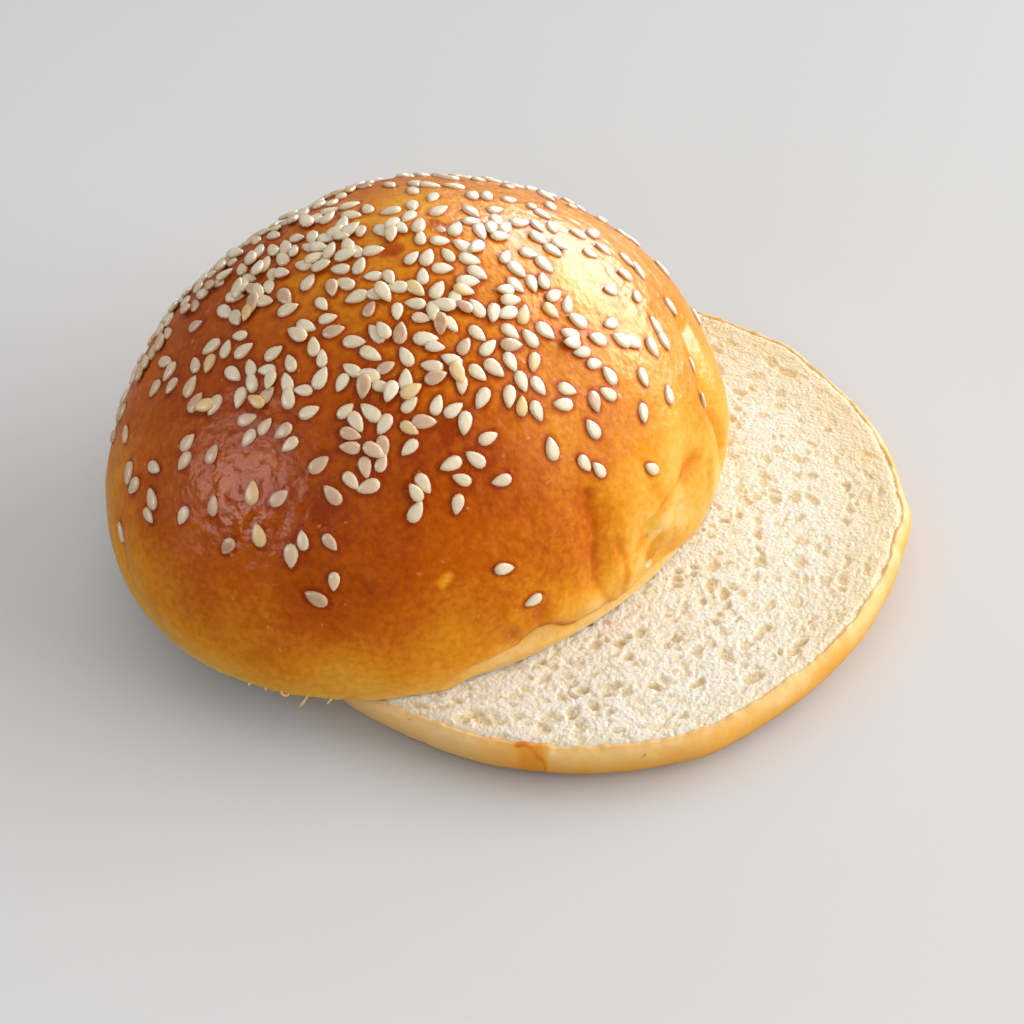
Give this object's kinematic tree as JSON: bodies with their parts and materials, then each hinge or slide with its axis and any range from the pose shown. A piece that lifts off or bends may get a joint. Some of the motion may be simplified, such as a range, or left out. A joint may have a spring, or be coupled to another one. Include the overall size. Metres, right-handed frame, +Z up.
{
  "type": "burger bun",
  "caption": "Sesame burger bun sliced in two: the domed top half lies across the thin bottom half, whose cut crumb shows.",
  "frame": {"origin": "on the surface that the bun stands on, under the middle of its box", "axes": "+Z up, +X towards the side where the bottom half sticks out from under the top half"},
  "size_m": [0.1248, 0.1034, 0.0603],
  "materials": {
    "crown_crust": "satin",
    "heel_crust": "matte",
    "crumb": "matte",
    "sesame": "satin"
  },
  "bodies": {
    "root": {"crown": "crown_crust", "heel": "heel_crust"}
  },
  "joints": []
}
